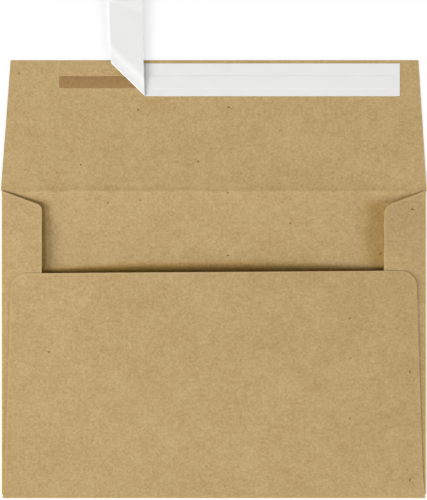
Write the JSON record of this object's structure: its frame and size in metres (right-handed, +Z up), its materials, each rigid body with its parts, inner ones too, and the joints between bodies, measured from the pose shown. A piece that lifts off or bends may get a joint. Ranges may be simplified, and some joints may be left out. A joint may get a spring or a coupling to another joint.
{
  "type": "paper envelope",
  "caption": "Square-flap kraft paper envelope, flap open, with a peel-and-press adhesive strip and a partly peeled release liner.",
  "frame": {"origin": "centre of the front panel's outer face, which lies on the table", "axes": "+X to the right across the body, +Y from the bottom fold to the open closing flap, +Z up out of the back"},
  "size_m": [0.1848, 0.2161, 0.0056],
  "materials": {
    "kraft_paper": "matte, finely fibrous kraft",
    "seam_gum": "dry gum",
    "adhesive": "clear tacky film on kraft paper",
    "liner": "smooth white coated release paper"
  },
  "bodies": {
    "root": {"envelope_sheet": "kraft_paper", "seam_gum_left": "seam_gum", "seam_gum_right": "seam_gum", "adhesive_strip": "adhesive", "release_liner": "liner"}
  },
  "joints": []
}
